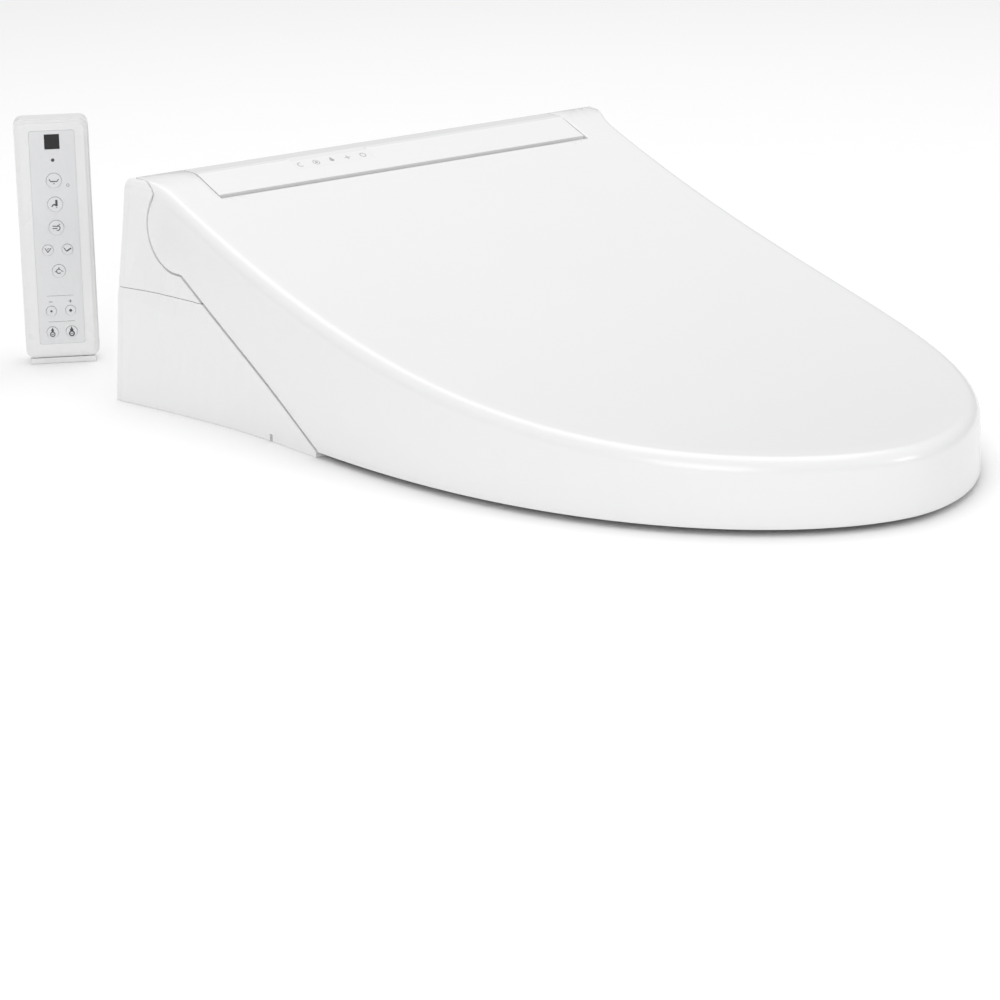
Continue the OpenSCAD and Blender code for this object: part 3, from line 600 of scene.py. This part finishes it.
# %% The band
def band(name, z0, z1, knots):
    """Rows run round the ring by angle; columns follow the profile's knots, each a share t0 of the way inward
    and t1 of the way up. Outside, the band keeps LID_ROOM clear of the lid's foot outline."""
    g = np.linspace(0, 2 * np.pi, 361)[:-1]
    ox, ou = oval(RING_HW, RING_RU, 2.5, g)
    room = np.maximum(0, foot(np.minimum(LEN, RING_UC + ou + LID_ROOM), 0.0) - LID_ROOM)
    ox = np.sign(ox) * np.minimum(np.abs(ox), room)
    hx, hu = oval(HOLE_HW, RING_RU - BAND_W, 2.15, g)
    t = np.array(knots, float)
    x = ox[:, None] + (hx - ox)[:, None] * t[None, :, 0]
    u = ou[:, None] + (hu - ou)[:, None] * t[None, :, 0]
    z = np.broadcast_to(z0 + (z1 - z0) * t[None, :, 1], x.shape)
    rows = np.stack([x, REAR_Y - RING_UC - u, z], -1)
    return grid_mesh(name, np.concatenate([rows, rows[:1]]))


def weld(obj):
    """Joins the first and last rows of a grid that runs all the way round."""
    shape = bmesh.new()
    shape.from_mesh(obj.data)
    bmesh.ops.remove_doubles(shape, verts=shape.verts, dist=1e-7)
    shape.to_mesh(obj.data)
    shape.free()


# %% Make the ring
dome = [(0, 0), (0, 0.3), (0.0, 0.55), (0.02, 0.68), (0.055, 0.79), (0.1, 0.86), (0.17, 0.935), (0.25, 0.98),
        (0.3, 0.99), (0.4, 1.0), (0.5, 0.99), (0.6, 0.95), (0.7, 0.9), (0.8, 0.82), (0.88, 0.72), (0.95, 0.58),
        (1, 0.42), (1, 0.2), (1, 0)]
ring = band("seat_ring", 14.0, 32.0, dome)
weld(ring)
fix_normals(ring)
ring.data.materials.append(dress(bpy.data.materials.new("ring_white"), **FINISHES["white"]))
soften(ring, 0)
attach(ring, "seat")
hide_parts("seat_top")
print("seat ring faces:", len(ring.data.polygons))


# %% [markdown]
# ## Printed marks
# The lens on the unit carries five faint status marks, and each key of the remote control a plain
# pictogram. A texture could show them, but a thin raised film keeps its sharp edge at any distance. Each mark
# is made from flat polygons a few hundredths of a millimetre thick, placed in the frame of its surface, and
# rides with the body that it is printed on.

# %% Bands and dots as lists of polygons, in millimetres
def ring_shape(r, width, start=0.0, turn=360.0, cx=0.0, cz=0.0, count=28):
    """A band between radii r - width/2 and r + width/2, from start through turn degrees."""
    a = np.radians(start + np.linspace(0, turn, count))
    outer = np.stack([cx + (r + width / 2) * np.cos(a), cz + (r + width / 2) * np.sin(a)], -1)
    inner = np.stack([cx + (r - width / 2) * np.cos(a), cz + (r - width / 2) * np.sin(a)], -1)
    return [np.array([outer[i], outer[i + 1], inner[i + 1], inner[i]]) for i in range(count - 1)]


def dot_shape(r, cx=0.0, cz=0.0, count=20):
    """A filled circle of radius r."""
    a = np.linspace(0, 2 * np.pi, count + 1)[:-1]
    return [np.stack([cx + r * np.cos(a), cz + r * np.sin(a)], -1)]


# %% Bars and drops
def bar_shape(x0, z0, x1, z1, width):
    """A straight bar of the given width between two points."""
    way = np.array([x1 - x0, z1 - z0], float)
    side = np.array([-way[1], way[0]]) / np.hypot(*way) * width / 2
    a, b = np.array([x0, z0]), np.array([x1, z1])
    return [np.array([a - side, b - side, b + side, a + side])]


def drop_shape(r, cx=0.0, cz=0.0, count=24):
    """A water drop: a circle of radius r whose top is drawn out to a point at 2.1 r."""
    a = np.linspace(0, 2 * np.pi, count + 1)[:-1]
    lift = np.where(np.sin(a) > 0, 1 + 1.1 * np.sin(a) ** 6, 1.0)
    narrow = np.where(np.sin(a) > 0, 1 - 0.35 * np.sin(a) ** 2, 1.0)
    return [np.stack([cx + r * np.cos(a) * narrow, cz + r * np.sin(a) * lift], -1)]


# %% [markdown]
# The pictograms are generic: a seat for stop, a spray for the two washes, shallow and deep bowls for less and
# more, a fan for the drier, and a drop over a ring for the two users.

# %% The pictograms of the keys
SHAPES = {
    "stop": [bar_shape(-2.2, -0.6, 2.2, -0.6, 0.7), bar_shape(-3.2, 1.0, -2.2, -0.5, 0.6),
             bar_shape(2.2, -0.5, 3.2, 1.0, 0.6), bar_shape(-0.7, -2.1, 0.7, -2.1, 0.35)],
    "rear": [bar_shape(0.9, 3.1, 0.9, -1.0, 1.5), bar_shape(1.2, -1.0, -1.0, 0.2, 1.0),
             bar_shape(-1.0, 0.1, -2.4, -1.5, 0.8), bar_shape(0.4, -2.4, 1.4, -1.8, 0.35)],
    "front": [ring_shape(1.7, 0.6, -110, 200, 0.7, -0.2), bar_shape(-2.6, 1.2, 1.4, 0.9, 0.6),
              bar_shape(-2.6, -0.4, 0.6, -0.6, 0.6), bar_shape(1.5, 1.8, 2.6, 2.4, 0.45)],
    "less": [bar_shape(-2.0, 1.6, -0.2, -1.4, 0.55), bar_shape(-0.2, -1.4, 2.2, 1.4, 0.6),
             bar_shape(-0.6, 0.7, 1.0, 1.3, 0.5)],
    "more": [bar_shape(-2.4, 1.6, -0.6, -1.2, 0.55), bar_shape(-0.6, -1.2, 2.6, 0.9, 0.9)],
    "dryer": [ring_shape(1.5, 0.6, 40, 280, 0, -0.1), bar_shape(-2.8, -0.2, -1.6, -0.6, 0.5),
              bar_shape(1.4, 0.2, 3.0, -0.3, 0.5), bar_shape(0.0, 1.4, 0.3, 2.8, 0.5)],
    "move": [dot_shape(0.8)],
    "temp": [dot_shape(1.0)],
    "user_a": [drop_shape(1.0, 0, 1.4), ring_shape(1.5, 0.7, 0, 360, 0, -1.3),
               bar_shape(-0.8, -1.3, 0.8, -1.3, 0.5)],
    "user_b": [drop_shape(1.2, 0, 1.2), ring_shape(1.6, 0.9, 0, 360, 0, -1.3),
               bar_shape(-0.9, -1.3, 0.9, -1.3, 0.5)],
}
print("pictograms:", ", ".join(SHAPES))


# %% Prisms from polygons
SUNK, PROUD = -0.02, 0.04
INK, FAINT = (0.07, 0.07, 0.075), (0.42, 0.42, 0.43)


def prisms(polygons, place):
    """Corners and faces of a thin prism on each polygon, from SUNK to PROUD along the surface's normal."""
    verts, faces = [], []
    for polygon in polygons:
        n, base = len(polygon), len(verts)
        low = place(polygon[:, 0], polygon[:, 1], np.full(n, SUNK))
        high = place(polygon[:, 0], polygon[:, 1], np.full(n, PROUD))
        verts += (np.vstack([low, high]) * 0.001).tolist()
        walls = [(base + i, base + (i + 1) % n, base + n + (i + 1) % n, base + n + i) for i in range(n)]
        faces += walls + [list(range(base + n, base + 2 * n)), list(range(base + n - 1, base - 1, -1))]
    return verts, faces


# %% A film on a surface
def film(name, polygons, place, body, tint=INK):
    """One printed mark; place maps (x, z, lift) arrays of millimetres to the frame."""
    verts, faces = prisms(polygons, place)
    mesh = bpy.data.meshes.new(name)
    mesh.from_pydata(verts, [], faces)
    mesh.update()
    obj = bpy.data.objects.new(name, mesh)
    bpy.context.scene.collection.objects.link(obj)
    shape = bmesh.new()
    shape.from_mesh(mesh)
    bmesh.ops.recalc_face_normals(shape, faces=shape.faces)
    shape.to_mesh(mesh)
    shape.free()
    ink = bpy.data.materials.new(name + "_ink")
    mesh.materials.append(dress(ink, tint=tint, gloss=0.35, drift=0.12, grain=0.2))
    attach(obj, body)
    return obj


# %% [markdown]
# ## Marks on the remote control
# The remote stands turned a little towards the seat, so its face has a frame of its own. A small function
# carries flat points into it. The keys' places are shares of the remote's height, measured down from its top.

# %% The frame of the remote's face
RC_X, RC_Y, RC_TURN, RC_FRONT, RC_TOP, RC_H = -183.0, 169.0, math.radians(-29), -10.0, 169.0, 165.0


def on_remote(x0, z0, front):
    """Places (x, z, lift) on the face of the remote at x0, z0: a turn about Z, then a shift."""
    def place(x, z, lift):
        px, py = x + x0, front - lift
        return np.stack([RC_X + px * math.cos(RC_TURN) - py * math.sin(RC_TURN),
                         RC_Y + px * math.sin(RC_TURN) + py * math.cos(RC_TURN), z + z0], -1)
    return place


# %% One pictogram on each key
KEYS = [("stop", 0, 0.254), ("rear", 0, 0.353), ("front", 0, 0.45), ("less", -6.5, 0.543), ("more", 6.5, 0.543),
        ("dryer", 0, 0.632), ("move", -6.5, 0.8), ("temp", 6.5, 0.8), ("user_a", -6.5, 0.89),
        ("user_b", 6.5, 0.89)]
KEY_PROUD, PANEL_PROUD = 0.7, 0.1
for key, x0, share in KEYS:
    face = on_remote(x0, RC_TOP - RC_H * share, RC_FRONT - KEY_PROUD)
    film("mark_" + key, sum(SHAPES[key], []), face, "key_" + key)
print("marks on the keys:", len(KEYS))

# %% Lines, dots and a minus and a plus on the face between the keys
rows = [bar_shape(-9.0, RC_TOP - drop, 9.0, RC_TOP - drop, 0.18) for drop in (121.5, 139.5)]
sign_z = RC_TOP - 125.6
signs = [bar_shape(-7.8, sign_z, -5.4, sign_z, 0.4), bar_shape(5.4, sign_z, 7.8, sign_z, 0.4),
         bar_shape(6.6, sign_z - 1.2, 6.6, sign_z + 1.2, 0.4)]
dots = [dot_shape(1.2, 0, RC_TOP - 28.0), ring_shape(0.9, 0.25, 0, 360, 9.2, RC_TOP - 45.5)]
film("mark_panel", sum(dots + rows + signs, []), on_remote(0, 0, RC_FRONT - PANEL_PROUD), "remote")
print("marks on the face:", len(dots + rows + signs))


# %% [markdown]
# ## Status marks on the lens
# Five small marks show power, dryer, water, heat and standby. They are a mid grey, because the lamps behind
# them are off, and they follow the curve of the panel.

# %% Five faint status marks
def on_lens(x0, u0):
    """Places (x, z, lift) on the lens: z runs towards the rear and the height follows ztop."""
    def place(x, z, lift):
        u = u0 - z
        return np.stack([x + x0, REAR_Y - u, ztop(u) + lift], -1)
    return place


STATUS = [[ring_shape(2.0, 0.7, 60, 240)], [dot_shape(1.1), ring_shape(2.3, 0.55)], [drop_shape(1.7)],
          [bar_shape(-2.1, 0, 2.1, 0, 0.8), bar_shape(0, -2.1, 0, 2.1, 0.8)], [ring_shape(2.0, 0.7, 0, 360)]]
FIRST_X, STEP_X, MARK_U = -75.0, 12.6, 25.0
for i, shape_list in enumerate(STATUS):
    place = on_lens(FIRST_X + STEP_X * i, MARK_U)
    film(f"status_{i + 1}", sum(shape_list, []), place, "base", tint=FAINT)
print("marks on the lens:", len(STATUS))


# %% [markdown]
# ## Floor and light
# White plastic on a white ground needs even light, or its shadows turn grey. A large lamp overhead, a fill at
# the front left and a small strip low in front give just enough difference between the top and the sides.

# %% Floor
bpy.ops.mesh.primitive_plane_add(size=14, location=(0, 0, -0.0002))
floor = bpy.context.object
floor.name = "floor"
pale = dress(bpy.data.materials.new("floor"), tint=(0.98, 0.98, 0.98), gloss=0.75, drift=0.01, grain=0.1)
floor.data.materials.append(pale)
print("floor ready")


# %% Lamps
def lamp(name, place, aim, size, power):
    """A square area lamp at place that points at aim."""
    data = bpy.data.lights.new(name, "AREA")
    data.size = size
    data.energy = power
    obj = bpy.data.objects.new(name, data)
    obj.location = place
    way = np.array(aim, float) - np.array(place, float)
    flat = math.hypot(way[0], way[1])
    obj.rotation_euler = (math.atan2(flat, -way[2]), 0, math.atan2(-way[0], way[1]))
    bpy.context.scene.collection.objects.link(obj)


lamp("lamp_top", (0.3, 0.3, 2.6), (0, -0.2, 0), 2.4, 26)
lamp("lamp_front", (-2.4, -1.9, 1.0), (0, -0.2, 0.05), 1.6, 22)
lamp("lamp_strip", (0.9, -2.0, 0.9), (0.1, -0.4, 0.05), 0.5, 4)

# %% [markdown]
# ## The sky
# The sky is a little darker near the horizon than overhead. The rounded edge between the lid's bright top and
# its skirt mirrors that change, which keeps it readable. The Standard view transform shows whites as white.

# %% World
world = bpy.data.worlds.new("studio")
bpy.context.scene.world = world
world.use_nodes = True
sky = world.node_tree
background = sky.nodes["Background"]
background.inputs["Color"].default_value = (1.0, 1.0, 1.0, 1.0)
direction = sky.nodes.new("ShaderNodeTexCoord")
split = sky.nodes.new("ShaderNodeSeparateXYZ")
sky.links.new(direction.outputs["Generated"], split.inputs[0])
sky.links.new(spread(sky, split.outputs["Z"], (0.1, 0.75), (0.47, 0.77)), background.inputs["Strength"])
bpy.context.scene.view_settings.view_transform = "Standard"
print("stage ready")
